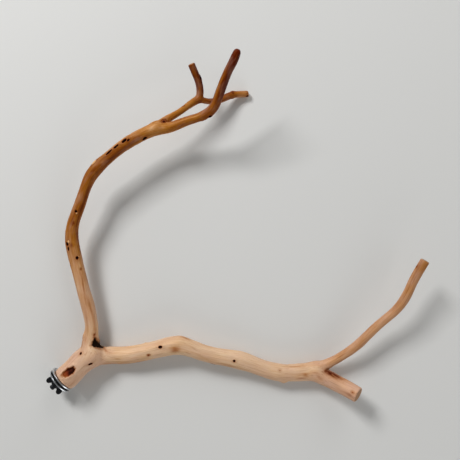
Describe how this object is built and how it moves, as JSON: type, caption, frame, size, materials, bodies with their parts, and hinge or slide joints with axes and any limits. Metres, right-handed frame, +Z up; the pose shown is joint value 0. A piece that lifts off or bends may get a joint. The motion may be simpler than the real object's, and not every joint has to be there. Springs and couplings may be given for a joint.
{
  "type": "natural wood bird perch",
  "caption": "Peeled, forked tree branch used as a cage perch, with twigs and spurs, held to the cage wires between washers by a hanger bolt and wing nut in its sawn butt.",
  "frame": {"origin": "middle of the perch's box, on the surface it lies on", "axes": "+Z up from that surface, +X from the sawn butt along the long limb, +Y towards the arching limb's tip"},
  "size_m": [0.4208, 0.3736, 0.0807],
  "materials": {
    "peeled_wood": "barked, washed and dried hardwood, pale to orange-brown, dull satin",
    "zinc_steel": "bright zinc-plated steel",
    "black_steel": "blackened steel, satin"
  },
  "bodies": {
    "perch": {"trunk": "peeled_wood", "long_limb": "peeled_wood", "arch_limb": "peeled_wood", "cut_stub": "peeled_wood", "end_twig": "peeled_wood", "tall_twig": "peeled_wood", "forked_twig": "peeled_wood", "upright_spur": "peeled_wood", "low_spur": "peeled_wood", "hanger_bolt": "zinc_steel", "inner_washer": "zinc_steel"},
    "clamp_washer": {"outer_washer": "zinc_steel"},
    "nut": {"wing_nut": "black_steel"}
  },
  "joints": [
    {"name": "washer_slide", "type": "slide", "parent": "perch", "child": "clamp_washer", "axis": [-0.7605, -0.6464, 0.0608], "range_m": [-0.0018, 0.006]},
    {"name": "nut_turn", "type": "hinge", "parent": "clamp_washer", "child": "nut", "pos_m": [-0.19657, -0.16758, 0.01722], "axis": [-0.7605, -0.6464, 0.0608], "range_deg": [-640, 2140]}
  ],
  "couplings": [
    {"joint": "washer_slide", "follows": "nut_turn", "m_per_rad": 0.00015915}
  ]
}
